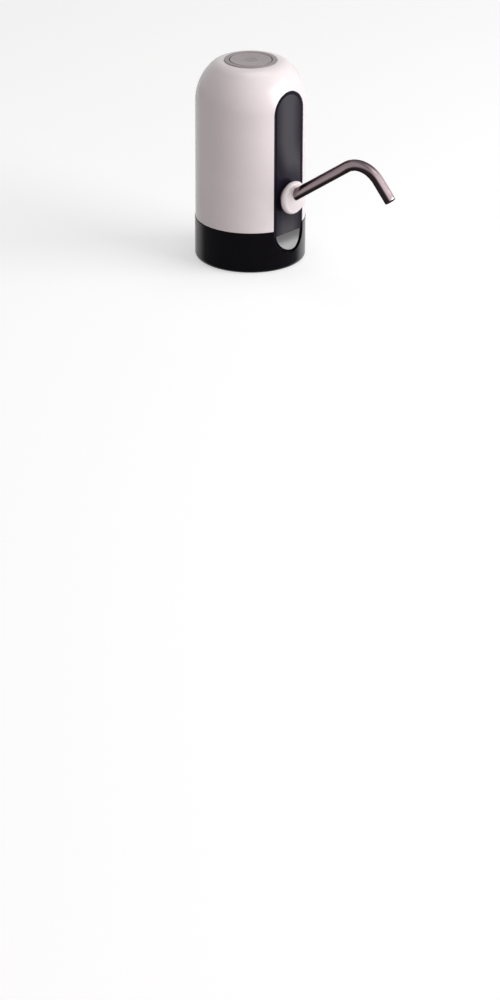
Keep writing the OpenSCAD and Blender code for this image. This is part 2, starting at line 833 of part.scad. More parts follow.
module spout_knob() {
    rim_h = knob_gap + knob_rim_r;
    face_h = knob_gap + knob_t;
    flat_r = knob_d / 2 - knob_rim_r;
    dome_foot_r = flat_r - knob_flat;
    dome_r = tidy((pow(dome_foot_r, 2) + pow(knob_dome, 2)) / (2 * knob_dome));
    color("whitesmoke") difference() {
        round_plug() difference() {
            union() {
                translate([0, -spigot_l]) square([spigot_r, spigot_l + knob_gap]);
                translate([0, move_gap]) square([knob_neck_r, knob_gap]);
                translate([0, knob_gap]) square([flat_r, knob_t]);
                translate([flat_r, rim_h]) circle(knob_rim_r);
                intersection() {
                    translate([0, face_h + knob_dome - dome_r]) circle(dome_r);
                    translate([0, face_h - over / 2]) square([dome_foot_r, knob_dome + over]);
                }
            }
            translate([0, -spigot_l - over]) square([spigot_bore_r, spigot_l + knee_out + over]);
            translate([groove_floor_r, ring_h - groove_w / 2]) square([spigot_r, groove_w]);
        }
        at_knee() translate([0, 0, tube_start]) cylinder(r = tube_r + run_gap, h = rise_len);
        at_knee() cylinder(r = spigot_bore_r, h = rise_len);
    }
}

// A bent rod of radius r that follows the tube's centre line, from start on the rising leg.
// The falling leg is a hair slimmer, so that its end lies inside the end of the bend.
module bent_rod(r, start, end_over) {
    slimmer = 0.03;
    overlap = 0.05;
    at_knee() {
        translate([0, 0, start]) cylinder(r = r, h = rise_len - start);
        translate([bend_r, 0, rise_len]) {
            rotate([90, 0, 180]) rotate_extrude(angle = bend_turn) translate([bend_r, 0]) circle(r);
            rotate([0, bend_turn, 0]) translate([-bend_r, 0, -overlap])
                cylinder(r = r - slimmer, h = fall_len + overlap + end_over);
        }
    }
}

module spout_tube() {
    color([0.78, 0.79, 0.81]) difference() {
        bent_rod(tube_r, tube_start, 0);
        bent_rod(tube_r - tube_wall, tube_start - over, over);
    }
}

module battery_cell() {
    color([0.2, 0.42, 0.6]) translate([cell_at[0], cell_at[1], deck_top]) {
        cylinder(r = cell_r, h = cell_l);
        translate([0, 0, cell_l - over]) cylinder(r = cell_cap_r, h = cell_cap_h + over);
    }
}

module charge_board() {
    color([0.1, 0.35, 0.2]) difference() {
        translate([charge_x, -charge_w / 2, charge_z]) cube([charge_l, charge_w, board_t]);
        at_charge_screws() translate([0, 0, charge_z - over])
            cylinder(r = small_screw_r + 2 * seat_gap, h = board_t + 2 * over);
    }
}

module charge_socket() {
    inner = [socket_l, socket_w - 2 * socket_shell_t, socket_h - 2 * socket_shell_t];
    tongue_w = 0.7 * socket_w;
    color([0.8, 0.8, 0.82]) translate([socket_mouth_x, -socket_w / 2, charge_z + board_t]) {
        difference() {
            cube([socket_l, socket_w, socket_h]);
            translate([-over, socket_shell_t, socket_shell_t]) cube(inner);
        }
        translate([over, (socket_w - tongue_w) / 2, (socket_h - tongue_t) / 2])
            cube([socket_l - 1.5 * over, tongue_w, tongue_t]);
    }
}

// Plate that stands on the deck behind the charging port and closes it round the socket
module port_frame() {
    tall = port_z + port_h / 2 + frame_t - deck_top;
    slot_w = socket_w + 2 * seat_gap;
    slot_h = socket_h + 2 * seat_gap;
    color([0.06, 0.06, 0.065]) difference() {
        translate([frame_x, -charge_w / 2, deck_top]) cube([frame_t, charge_w, tall]);
        translate([frame_x - over, -slot_w / 2, port_z - slot_h / 2])
            cube([frame_t + 2 * over, slot_w, slot_h]);
    }
}

module control_board() {
    color([0.1, 0.35, 0.2]) translate([0, 0, control_z]) difference() {
        cylinder(r = control_r, h = board_t);
        at_control_bosses() translate([0, 0, -over])
            cylinder(r = small_screw_r + 2 * seat_gap, h = board_t + 2 * over);
    }
}

module tact_switch() {
    depth = button_travel + plunger_sink + move_gap;
    color([0.15, 0.15, 0.16]) translate([-switch_w / 2, -switch_w / 2, control_top]) difference() {
        cube([switch_w, switch_w, switch_h]);
        translate([switch_w / 2, switch_w / 2, switch_h - depth])
            cylinder(r = plunger_r + run_gap, h = switch_h);
    }
}

module switch_plunger() {
    color([0.85, 0.83, 0.78]) translate([0, 0, control_top + switch_h - plunger_sink])
        cylinder(r = plunger_r, h = plunger_h + plunger_sink);
}

module status_led() {
    color([0.85, 0.9, 1]) translate([led_x, 0, control_top]) {
        cylinder(r = led_r, h = led_h);
        translate([0, 0, led_h]) sphere(r = led_r);
    }
}

module button_bezel() {
    color([0.62, 0.62, 0.64]) rotate_extrude() difference() {
        translate([bezel_in_r, bezel_foot_z]) {
            square([bezel_r - bezel_in_r, button_top - bezel_foot_z]);
            square([bezel_flange_r - bezel_in_r, bezel_flange_t]);
        }
        corner_2d(bezel_r, button_top);
        translate([2 * bezel_in_r, 0]) mirror([1, 0]) corner_2d(bezel_in_r, button_top);
    }
}

module button_cap() {
    plate_z = button_top - button_plate_t;
    color([0.6, 0.6, 0.62]) rotate_extrude() difference() {
        union() {
            difference() {
                translate([0, button_lip_z]) {
                    square([button_r, button_top - button_lip_z]);
                    square([button_lip_r, button_lip_t]);
                }
                translate([0, button_lip_z - over])
                    square([button_r - button_wall, plate_z - button_lip_z + over]);
            }
            translate([0, stem_foot_z]) square([stem_r, plate_z - stem_foot_z + over / 2]);
        }
        translate([0, button_top - button_dish + dish_r]) circle(dish_r, $fn = 720);
        corner_2d(button_r, button_top);
        translate([0, button_top - button_dish - lens_t])
            square([lens_d / 2 + run_gap, lens_t + button_dish + over]);
    }
}

module button_lens() {
    color([0.2, 0.22, 0.25]) translate([0, 0, button_top - button_dish - lens_t])
        cylinder(r = lens_d / 2, h = lens_t);
}

module housing_screws() {
    shank_top = deck_top + post_h - 2 * screw_spare;
    color([0.75, 0.76, 0.78]) at_posts() translate([0, 0, gasket_z]) {
        cylinder(r = screw_head_r, h = screw_head_h);
        translate([0, 0, screw_head_h - over])
            cylinder(r = screw_r - run_gap, h = shank_top - gasket_z - screw_head_h + over);
    }
}

module pump_screws() {
    foot = deck_top + 2 * over;
    head_z = chamber_z + ear_h;
    color([0.75, 0.76, 0.78]) at_pump_ears() {
        translate([0, 0, head_z]) cylinder(r = pump_head_r, h = pump_head_h);
        translate([0, 0, foot]) cylinder(r = pump_screw_r, h = head_z - foot + over);
    }
}

module board_screws() {
    foot = deck_top + over;
    head_z = charge_z + board_t;
    color([0.75, 0.76, 0.78]) {
        at_control_bosses() translate([0, 0, control_z]) {
            translate([0, 0, -small_head_h]) cylinder(r = small_head_r, h = small_head_h);
            translate([0, 0, -over]) cylinder(r = small_screw_r, h = board_t + control_screw_l + over);
        }
        at_charge_screws() {
            translate([0, 0, head_z]) cylinder(r = small_head_r, h = small_head_h);
            translate([0, 0, foot]) cylinder(r = small_screw_r, h = head_z - foot + over);
        }
    }
}

housing_shell();
front_panel();
base_skirt();
neck_collar();
neck_gasket();
chassis_deck();
inlet_barb();
barb_nut();
inlet_hose();
pump_cover();
pump_housing();
drive_gear();
idler_gear();
idler_pin();
shaft_seal();
motor_can();
motor_end_cap();
motor_magnets();
motor_bushes();
motor_shaft();
armature();
outlet_hose();
outlet_port();
port_screws();
spout_o_ring();
spout_knob();
spout_tube();
battery_cell();
charge_board();
charge_socket();
port_frame();
control_board();
tact_switch();
switch_plunger();
status_led();
button_bezel();
button_cap();
button_lens();
housing_screws();
pump_screws();
board_screws();
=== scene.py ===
# %% [markdown]
# # A push-button water pump, dressed for its portrait
# The pump is a white domed housing on a black foot, with a black panel down its front, a push button
# on top and a bent steel spout. Its solids come from CAD and are never moved here. This lesson gives
# them a camera, a studio and finishes, and makes two pieces that are better as meshes than as solids:
# the steel tube of the spout, and the contacts in the charging socket.

# %% Load the solids
import json
import math

import bmesh
import bpy
from mathutils import Euler, Matrix, Vector

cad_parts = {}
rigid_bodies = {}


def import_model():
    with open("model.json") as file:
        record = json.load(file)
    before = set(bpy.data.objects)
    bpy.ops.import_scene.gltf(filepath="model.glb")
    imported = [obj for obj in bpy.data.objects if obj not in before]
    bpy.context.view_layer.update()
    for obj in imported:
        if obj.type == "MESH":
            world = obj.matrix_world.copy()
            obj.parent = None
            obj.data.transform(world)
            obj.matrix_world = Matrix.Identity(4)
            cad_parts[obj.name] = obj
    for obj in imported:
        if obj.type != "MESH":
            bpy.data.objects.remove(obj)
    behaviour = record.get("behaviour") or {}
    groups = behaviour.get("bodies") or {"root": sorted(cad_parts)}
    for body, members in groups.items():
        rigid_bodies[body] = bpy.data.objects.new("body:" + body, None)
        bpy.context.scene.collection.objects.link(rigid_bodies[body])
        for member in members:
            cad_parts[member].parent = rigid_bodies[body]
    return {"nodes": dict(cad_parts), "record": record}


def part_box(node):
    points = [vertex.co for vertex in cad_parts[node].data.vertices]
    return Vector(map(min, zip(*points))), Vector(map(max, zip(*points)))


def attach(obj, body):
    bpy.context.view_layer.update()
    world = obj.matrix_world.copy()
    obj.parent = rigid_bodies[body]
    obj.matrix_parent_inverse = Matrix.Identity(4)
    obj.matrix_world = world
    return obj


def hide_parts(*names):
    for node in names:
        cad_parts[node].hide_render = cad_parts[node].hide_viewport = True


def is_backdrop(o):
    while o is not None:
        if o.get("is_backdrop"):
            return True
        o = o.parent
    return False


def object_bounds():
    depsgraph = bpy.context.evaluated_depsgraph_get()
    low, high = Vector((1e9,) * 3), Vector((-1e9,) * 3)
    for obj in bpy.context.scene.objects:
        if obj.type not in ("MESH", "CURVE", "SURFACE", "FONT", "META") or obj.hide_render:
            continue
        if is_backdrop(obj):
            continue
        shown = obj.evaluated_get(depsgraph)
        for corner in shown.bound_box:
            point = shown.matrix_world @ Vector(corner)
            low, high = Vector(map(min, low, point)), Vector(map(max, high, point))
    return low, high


for stray in list(bpy.data.objects):
    bpy.data.objects.remove(stray)
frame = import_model()
cad_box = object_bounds()
MM = 0.001
print("solids:", len(frame["nodes"]))
print("box in mm:", [round(side / MM, 1) for side in cad_box[1] - cad_box[0]])

# %% [markdown]
# ## The camera
# A product photograph is taken from a few metres away with a long lens, so that upright sides stay
# nearly parallel. The place of a camera can be guessed by eye, or solved from points that are known
# on the object. Solving was chosen here: the round foot, the top of the dome and the tip of the spout
# give the angles below, and the lens follows from the size of the picture.

# %% Place the camera
TARGET = Vector((0, 0, 65 * MM))
AZIMUTH, ELEVATION, DISTANCE = math.radians(42.23), math.radians(19.63), 2.6
PITCH, YAW, ROLL = math.radians(24.41), math.radians(42.22), math.radians(0.19)
FOCAL_PIXELS, PICTURE_WIDTH, PICTURE_HEIGHT = 4088, 500, 1000
SENSOR, FARTHEST = 36, 100

toward_camera = Vector((math.sin(AZIMUTH) * math.cos(ELEVATION),
                        -math.cos(AZIMUTH) * math.cos(ELEVATION),
                        math.sin(ELEVATION)))
camera = bpy.data.objects.new("studio_camera", bpy.data.cameras.new("studio_camera"))
bpy.context.scene.collection.objects.link(camera)
camera.data.sensor_width = SENSOR
camera.data.lens = FOCAL_PIXELS / PICTURE_HEIGHT * SENSOR
camera.data.clip_end = FARTHEST
facing = Euler((math.pi / 2 - PITCH, 0, YAW)).to_matrix() @ Matrix.Rotation(ROLL, 3, "Z")
camera.matrix_world = Matrix.LocRotScale(TARGET + DISTANCE * toward_camera, facing, None)
bpy.context.scene.camera = camera
bpy.context.scene.view_settings.view_transform = "Standard"


def pixel_of(point):
    """Where a point falls in the picture, from its upper left corner."""
    local = camera.matrix_world.inverted() @ Vector(point)
    scale = FOCAL_PIXELS / -local.z
    return PICTURE_WIDTH / 2 + scale * local.x, PICTURE_HEIGHT / 2 - scale * local.y


bpy.context.view_layer.update()
print("lens in mm:", round(camera.data.lens, 1))
print("target at pixel:", [round(part, 1) for part in pixel_of(TARGET)])

# %% [markdown]
# ## Small helpers for node trees
# A finish is a tree of shader nodes. Adding a node, setting its values and wiring its sockets takes
# three lines each time, so one helper does all three: a value that is a socket is wired, and any
# other value is typed in.

# %% Node helpers
def add(tree, kind, values=None, **settings):
    """A new shader node: settings are its options, values its inputs, by name or by number."""
    node = tree.nodes.new("ShaderNode" + kind)
    for name, setting in settings.items():
        setattr(node, name, setting)
    for name, value in (values or {}).items():
        if isinstance(value, bpy.types.NodeSocket):
            tree.links.new(value, node.inputs[name])
        else:
            node.inputs[name].default_value = value
    return node


def sums(tree, operation, *values):
    """The result of one Math node."""
    return add(tree, "Math", dict(enumerate(values)), operation=operation).outputs[0]


def ramp(tree, value, low, high, first=0.0, last=1.0):
    """A soft step: first below low, last above high."""
    node = add(tree, "MapRange", {"Value": value, "From Min": low, "From Max": high,
                                  "To Min": first, "To Max": last}, interpolation_type="SMOOTHSTEP")
    return node.outputs["Result"]


def tint(tree, mask, below, above):
    """The colour below, covered by the colour above where the mask is 1."""
    return add(tree, "Mix", {"Factor": mask, 6: below, 7: above}, data_type="RGBA").outputs[2]


def rgba(colour):
    return (*colour, 1.0)


WHITE, BLACK = rgba((1, 1, 1)), rgba((0, 0, 0))
print("helpers:", [helper.__name__ for helper in (add, sums, ramp, tint, rgba)])

# %% [markdown]
# ## A pale studio
# The pump stands on a plain white sweep. The camera, and the mirror-like pieces, see that sweep as
# white, while the light that it throws back on the housing stays weak, as from a floor that is far
# larger than the pump but dimly lit. Two lamps could do this with flags and screens. Here the floor and
# the sky ask the Light Path node who is looking, which is easier to repeat, and the floor keeps a plain
# diffuse part, so that the pump's shadow stays on it.

# %% The floor
FLOOR_HALF = 12.0
FLOOR_SEEN, FLOOR_GLOW, FLOOR_BOUNCE = 0.62, 0.52, 0.42


def who_looks(tree):
    """1 for the camera and for mirror and glass rays, 0 for soft light."""
    path = add(tree, "LightPath")
    seen = sums(tree, "MAXIMUM", path.outputs["Is Camera Ray"], path.outputs["Is Glossy Ray"])
    return sums(tree, "MAXIMUM", seen, path.outputs["Is Transmission Ray"])


def new_material(name):
    material = bpy.data.materials.new(name)
    material.use_nodes = True
    material.node_tree.nodes.clear()
    return material, material.node_tree


floor_paint, tree = new_material("floor_paint")
shown = add(tree, "AddShader", {
    0: add(tree, "BsdfDiffuse", {"Color": rgba([FLOOR_SEEN] * 3)}).outputs[0],
    1: add(tree, "Emission", {"Color": WHITE, "Strength": FLOOR_GLOW}).outputs[0]})
dim = add(tree, "BsdfDiffuse", {"Color": rgba([FLOOR_BOUNCE] * 3)})
mixed = add(tree, "MixShader", {0: who_looks(tree), 1: dim.outputs[0], 2: shown.outputs[0]})
add(tree, "OutputMaterial", {"Surface": mixed.outputs[0]})

corners = [(x * FLOOR_HALF, y * FLOOR_HALF, 0) for x, y in ((-1, -1), (1, -1), (1, 1), (-1, 1))]
floor_mesh = bpy.data.meshes.new("floor")
floor_mesh.from_pydata(corners, [], [(0, 1, 2, 3)])
floor_mesh.materials.append(floor_paint)
floor = bpy.data.objects.new("floor", floor_mesh)
bpy.context.scene.collection.objects.link(floor)
floor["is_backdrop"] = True
print("floor side in m:", 2 * FLOOR_HALF)

# %% [markdown]
# ## The sky
# Above the floor the studio is an even white. A dome of geometry could carry that, but the world's own
# background does it with one node. It asks the same question as the floor: it is seen as white, and it
# lights the pump only a little, so that the lamps decide where its sides are bright or dark.

# %% The sky
SKY_SEEN, SKY_FILL = 0.98, 0.26

sky = bpy.data.worlds.new("studio_sky")
sky.use_nodes = True
tree = sky.node_tree
tree.nodes.clear()
strength = add(tree, "MapRange", {"Value": who_looks(tree), "To Min": SKY_FILL, "To Max": SKY_SEEN})
glow = add(tree, "Background", {"Color": WHITE, "Strength": strength.outputs[0]})
add(tree, "OutputWorld", {"Surface": glow.outputs[0]})
bpy.context.scene.world = sky
print("sky: seen", SKY_SEEN, "fill", SKY_FILL)

# %% [markdown]
# ## The lamps
# The photograph has one large soft light on the right, a little above the pump, and the left side of
# the housing stays in a soft, faintly pink grey. A bare bulb would give a hard edge between the two, so
# the key is a wide panel, which the half-moon at the foot of the front panel also mirrors. A weak warm
# panel beside the camera keeps the front from going dark, and one above lifts the button. The weak
# panel is hidden from mirror rays, because its outline on the glossy shell would look like a window.

# %% Key, fill and top light
SCREEN_RIGHT = Vector((math.cos(AZIMUTH), math.sin(AZIMUTH), 0))
TOWARD_FLAT = Vector((math.sin(AZIMUTH), -math.cos(AZIMUTH), 0))
UP = Vector((0, 0, 1))
WARM = (1.0, 0.86, 0.88)


def soft_panel(name, direction, distance, sides, watts, colour=(1, 1, 1)):
    """A lamp of two sides that looks at the pump from a direction: right, toward the camera, up."""
    right, toward, up = direction
    way = (right * SCREEN_RIGHT + toward * TOWARD_FLAT + up * UP).normalized()
    lamp = bpy.data.objects.new(name, bpy.data.lights.new(name, "AREA"))
    bpy.context.scene.collection.objects.link(lamp)
    lamp.data.shape = "RECTANGLE"
    lamp.data.size, lamp.data.size_y = sides
    lamp.data.energy = watts
    lamp.data.color = colour
    lamp.location = TARGET + way * distance
    lamp.rotation_euler = (-way).to_track_quat("-Z", "Y").to_euler()
    return lamp


key = soft_panel("key_panel", (0.88, 0.30, 0.345), distance=1.7, sides=(1.5, 1.2), watts=29)
fill = soft_panel("fill_panel", (0.0, 0.98, 0.18), distance=2.2, sides=(2.0, 0.7), watts=10, colour=WARM)
top = soft_panel("top_panel", (0.15, -0.10, 1.0), distance=1.5, sides=(0.9, 0.9), watts=4)
fill.visible_glossy = False
print("lamps in W:", {lamp.name: lamp.data.energy for lamp in (key, fill, top)})

# %% [markdown]
# ## Shared effect: moulded grain
# Moulded plastic copies the fine texture of the steel mould, and its colour has faint clouds where the
# melt flowed. Each finish could get its own noise, but the same grain is wanted in many, with other
# sizes, so it is a node group that is built once. Like the three effects below, it uses the object's own
# coordinates, in metres, so that the grain has the same size on every piece.

# %% Moulded grain
CLOUDS_PER_METRE = 70.0


def new_effect(name, inputs, outputs):
    """An empty node group with named sockets."""
    group = bpy.data.node_groups.new(name, "ShaderNodeTree")
    for title, kind, start in inputs:
        socket = group.interface.new_socket(title, in_out="INPUT", socket_type=kind)
        if start is not None:
            socket.default_value = start
    for title in outputs:
        group.interface.new_socket(title, in_out="OUTPUT", socket_type="NodeSocketFloat")
    return group, group.nodes.new("NodeGroupInput"), group.nodes.new("NodeGroupOutput")


moulded_grain, entry, leave = new_effect(
    "moulded_grain", [("Size in mm", "NodeSocketFloat", 0.4)], ["Height", "Mottle"])
place = add(moulded_grain, "TexCoord").outputs["Object"]
per_metre = sums(moulded_grain, "DIVIDE", 1 / MM, entry.outputs["Size in mm"])
pits = add(moulded_grain, "TexNoise",
           {"Vector": place, "Scale": per_metre, "Detail": 3.0, "Roughness": 0.6})
clouds = add(moulded_grain, "TexNoise", {"Vector": place, "Scale": CLOUDS_PER_METRE, "Detail": 3.0})
moulded_grain.links.new(pits.outputs[0], leave.inputs["Height"])
moulded_grain.links.new(clouds.outputs[0], leave.inputs["Mottle"])
print("effect:", moulded_grain.name, [socket.name for socket in moulded_grain.interface.items_tree])

# %% [markdown]
# ## Shared effect: smudges and hairline scratches
# Handled surfaces pick up greasy smudges and hairline scratches. They could be painted by hand for each
# piece. Noise gives both at once: broad blots are the smudges, and the thin lines where a stretched
# noise crosses its middle value are the scratches. The blots also break the scratches up, because a
# scratch never runs all the way round.

# %% Smudges and scratches
SCRATCH_TURN, SCRATCH_STRETCH = (0.5, 0.9, 0.3), (1.0, 1.0, 0.12)
SCRATCHES_PER_METRE, SCRATCH_WIDTH = 260.0, 0.006

handling_marks, entry, leave = new_effect(
    "handling_marks", [("Smudge size in mm", "NodeSocketFloat", 18.0)], ["Smudge", "Scratch"])
place = add(handling_marks, "TexCoord").outputs["Object"]
per_metre = sums(handling_marks, "DIVIDE", 1 / MM, entry.outputs["Smudge size in mm"])
blots = add(handling_marks, "TexNoise",
            {"Vector": place, "Scale": per_metre, "Detail": 5.0, "Distortion": 0.8}).outputs[0]
slanted = add(handling_marks, "Mapping",
              {"Vector": place, "Rotation": SCRATCH_TURN, "Scale": SCRATCH_STRETCH}).outputs[0]
lines = add(handling_marks, "TexNoise",
            {"Vector": slanted, "Scale": SCRATCHES_PER_METRE, "Detail": 1.0}).outputs[0]
off_line = sums(handling_marks, "ABSOLUTE", sums(handling_marks, "SUBTRACT", lines, 0.5))
hair = ramp(handling_marks, off_line, 0.0, SCRATCH_WIDTH, 1.0, 0.0)
broken = ramp(handling_marks, blots, 0.45, 0.6)
handling_marks.links.new(ramp(handling_marks, blots, 0.50, 0.72), leave.inputs["Smudge"])
handling_marks.links.new(sums(handling_marks, "MULTIPLY", hair, broken), leave.inputs["Scratch"])
print("effect:", handling_marks.name, [socket.name for socket in handling_marks.interface.items_tree])

# %% [markdown]
# ## Shared effect: settled dust
# Dust settles on what faces up. Scattered particles would be slow to render for something so fine, so
# the specks are small discs round the points of a cell pattern. Only some of the cells get one, and
# only where the surface looks upward.

# %% Settled dust
settled_dust, entry, leave = new_effect(
    "settled_dust", [("Speck size in mm", "NodeSocketFloat", 1.2)], ["Dust"])
where = add(settled_dust, "TexCoord")
per_metre = sums(settled_dust, "DIVIDE", 1 / MM, entry.outputs["Speck size in mm"])
cells = add(settled_dust, "TexVoronoi", {"Vector": where.outputs["Object"], "Scale": per_metre})
chance = add(settled_dust, "SeparateColor", {0: cells.outputs["Color"]}).outputs[0]
upward = add(settled_dust, "SeparateXYZ", {0: where.outputs["Normal"]}).outputs[2]
speck = ramp(settled_dust, cells.outputs["Distance"], 0.04, 0.14, 1.0, 0.0)
specks = sums(settled_dust, "MULTIPLY", speck, ramp(settled_dust, chance, 0.70, 0.95))
fallen = sums(settled_dust, "MULTIPLY", specks, ramp(settled_dust, upward, 0.25, 0.9))
settled_dust.links.new(fallen, leave.inputs["Dust"])
print("effect:", settled_dust.name, [socket.name for socket in settled_dust.interface.items_tree])

# %% [markdown]
# ## Shared effect: drawn lines
# Drawn or rolled metal keeps faint lines from its die. A wave texture would give lines that are too
# even. Noise that is squeezed one way by the finish that uses it gives lines that start and stop.

# %% Drawn lines
drawn_lines, entry, leave = new_effect("drawn_lines", [("Vector", "NodeSocketVector", None)], ["Line"])
streaks = add(drawn_lines, "TexNoise",
              {"Vector": entry.outputs["Vector"], "Scale": 1.0, "Detail": 5.0, "Roughness": 0.7})
drawn_lines.links.new(ramp(drawn_lines, streaks.outputs[0], 0.3, 0.7), leave.inputs["Line"])
print("effect:", drawn_lines.name, [socket.name for socket in drawn_lines.interface.items_tree])

# %% [markdown]
# ## Moulded plastics and rubbers
# Most of the pump is injection moulded. All these finishes are one recipe: a colour with faint clouds,
# a roughness that smudges and scratches disturb, a little dust, and a bump from the mould's texture.
# What differs are the numbers: the white shell is glossy and fine, the button is satin, the inner
# pieces are coarse. So one function makes them all from a short row of values.

# %% Recipe for moulded plastic
DUST_COLOUR, DUST_ROUGHNESS = (0.52, 0.50, 0.48), 0.3


def place_effect(tree, group, **values):
    """One of the shared effects inside a finish."""
    node = tree.nodes.new("ShaderNodeGroup")
    node.node_tree = group
    for name, value in values.items():
        title = name.replace("_", " ")
        if isinstance(value, bpy.types.NodeSocket):
            tree.links.new(value, node.inputs[title])
        else:
            node.inputs[title].default_value = value
    return node


def finish_surface(tree, colour, roughness, height, depth, plain):
    """The shader itself: varying sockets are wired, and plain ones are typed in."""
    bump = add(tree, "Bump", {"Height": height, "Strength": 1.0, "Distance": depth})
    values = {"Base Color": colour, "Roughness": roughness, "Normal": bump.outputs[0]}
    shader = add(tree, "BsdfPrincipled", {**values, **plain})
    add(tree, "OutputMaterial", {"Surface": shader.outputs[0]})
    return shader


def shade(colour, factor):
    return rgba([min(1.0, part * factor) for part in colour])


def moulded(name, colour, gloss, grain, depth, cloudy, smudged, dusty, plain=None, coat=None):
    """A moulded finish. Gloss is its roughness, grain and depth are in mm, coat is a lacquer mask."""
    material, tree = new_material(name)
    mould = place_effect(tree, moulded_grain, Size_in_mm=grain)
    marks = place_effect(tree, handling_marks)
    dust = place_effect(tree, settled_dust)
    mottle = ramp(tree, mould.outputs["Mottle"], 0.3, 0.7)
    base = tint(tree, mottle, shade(colour, 1 - cloudy), shade(colour, 1 + cloudy))
    covered = sums(tree, "MULTIPLY", dust.outputs["Dust"], dusty)
    base = tint(tree, covered, base, rgba(DUST_COLOUR))
    marked = sums(tree, "MAXIMUM", marks.outputs["Smudge"], marks.outputs["Scratch"])
    rough = sums(tree, "MULTIPLY_ADD", marked, smudged, gloss)
    rough = sums(tree, "MULTIPLY_ADD", covered, DUST_ROUGHNESS, rough)
    shader = finish_surface(tree, base, rough, mould.outputs["Height"], depth * MM, plain or {})
    if coat:
        tree.links.new(coat(tree, add(tree, "TexCoord").outputs["Object"]), shader.inputs["Coat Weight"])
    return material


print("recipe:", moulded.__name__)

# %% [markdown]
# ## Where the front panel is lacquered
# The middle of the front panel is clear lacquer over black. Its lowered border is left dull, so the
# border reads as a dark outline. Wiping has left the lacquer clearest along a band, which leans to one
# side above the knob, and hands that plug in the knob have rubbed it dull round there. The panel could
# be cut up, with a finish for each patch. A mask from the place on the object does the same in one.

# %% Mask for the panel
PANEL_FACE_X, PANEL_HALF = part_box("front_panel")[1].xy
BORDER_DROP, FACE_DROP = 0.25 * MM, 0.1 * MM
SPOUT_HEIGHT, RUBBED_INNER, RUBBED_OUTER, RUBBED_LEAST = 47.6 * MM, 10 * MM, 24 * MM, 0.25
LEAN_LOW, LEAN_HIGH, LEAN_MOST, LEAN_NONE = 52 * MM, 88 * MM, 8 * MM, 30 * MM
WIPED_INNER, WIPED_LEAST = 2 * MM, 0.05


def away_from(tree, y, z, height):
    """The distance of a place from the line that runs out of the front at a height."""
    middle = add(tree, "CombineXYZ", {1: y, 2: sums(tree, "SUBTRACT", z, height)}).outputs[0]
    return add(tree, "VectorMath", {0: middle}, operation="LENGTH").outputs["Value"]


def panel_lacquer(tree, place):
    x, y, z = add(tree, "SeparateXYZ", {0: place}).outputs
    raised = ramp(tree, x, PANEL_FACE_X - BORDER_DROP, PANEL_FACE_X - FACE_DROP)
    knob = away_from(tree, y, z, SPOUT_HEIGHT)
    rubbed = ramp(tree, knob, RUBBED_INNER, RUBBED_OUTER, RUBBED_LEAST, 1.0)
    lean = sums(tree, "MULTIPLY", ramp(tree, z, LEAN_LOW, LEAN_HIGH, LEAN_MOST, 0.0),
                ramp(tree, z, LEAN_NONE, LEAN_LOW))
    beside = sums(tree, "ABSOLUTE", sums(tree, "SUBTRACT", y, lean))
    wiped = ramp(tree, beside, WIPED_INNER, PANEL_HALF, 1.0, WIPED_LEAST)
    return sums(tree, "MULTIPLY", raised, sums(tree, "MULTIPLY", rubbed, wiped))


print("panel face at x in mm:", round(PANEL_FACE_X / MM, 2), "half width:", round(PANEL_HALF / MM, 2))

# %% [markdown]
# ## Where the foot is lacquered
# The foot is the same black plastic. The half-moon scooped out of its front is polished hardest of all
# and mirrors the studio. The rest is only buffed, which shows where the wall turns away from the eye, and
# a little more on one flank than on the other. A ring of plain gloss would shine all over instead, so
# a mask again says where, with Layer Weight for the part that turns away.

# %% Mask for the foot
MOON_HEIGHT, MOON_RADIUS, MOON_TOP = 23.77 * MM, 11.15 * MM, 23.2 * MM
MOON_FADE_IN, MOON_FADE_OUT = 0.1 * MM, 0.05 * MM
FOOT_FRONT_X = 30 * MM
TURNED_FROM, TURNED_TO = 0.45, 0.66
BUFFED_HALF, BUFFED_LEAST, BUFFED_MOST = 30 * MM, 0.40, 0.72


def foot_lacquer(tree, place):
    x, y, z = add(tree, "SeparateXYZ", {0: place}).outputs
    away = away_from(tree, y, z, MOON_HEIGHT)
    inside = ramp(tree, away, MOON_RADIUS - MOON_FADE_IN, MOON_RADIUS + MOON_FADE_OUT, 1.0, 0.0)
    below = sums(tree, "LESS_THAN", z, MOON_TOP)
    front = sums(tree, "GREATER_THAN", x, FOOT_FRONT_X)
    moon = sums(tree, "MULTIPLY", inside, sums(tree, "MULTIPLY", below, front))
    turned = add(tree, "LayerWeight", {"Blend": 0.5}).outputs["Facing"]
    buffed = ramp(tree, y, -BUFFED_HALF, BUFFED_HALF, BUFFED_LEAST, BUFFED_MOST)
    rim = sums(tree, "MULTIPLY", ramp(tree, turned, TURNED_FROM, TURNED_TO), buffed)
    return sums(tree, "MAXIMUM", moon, rim)


print("half-moon radius in mm:", round(MOON_RADIUS / MM, 2))

# %% [markdown]
# ## The row of values for each plastic
# The shell is a white with a trace of pink, the button and its ring are warm greys, and the foot and
# panel are near black. Inside are paler and coarser plastics that never had to look good. Values could
# be typed at each call. In one table they can be compared, and a finish that differs from its neighbours
# only by gloss is found at once. The few extras, such as a clear coat, stand below the table.

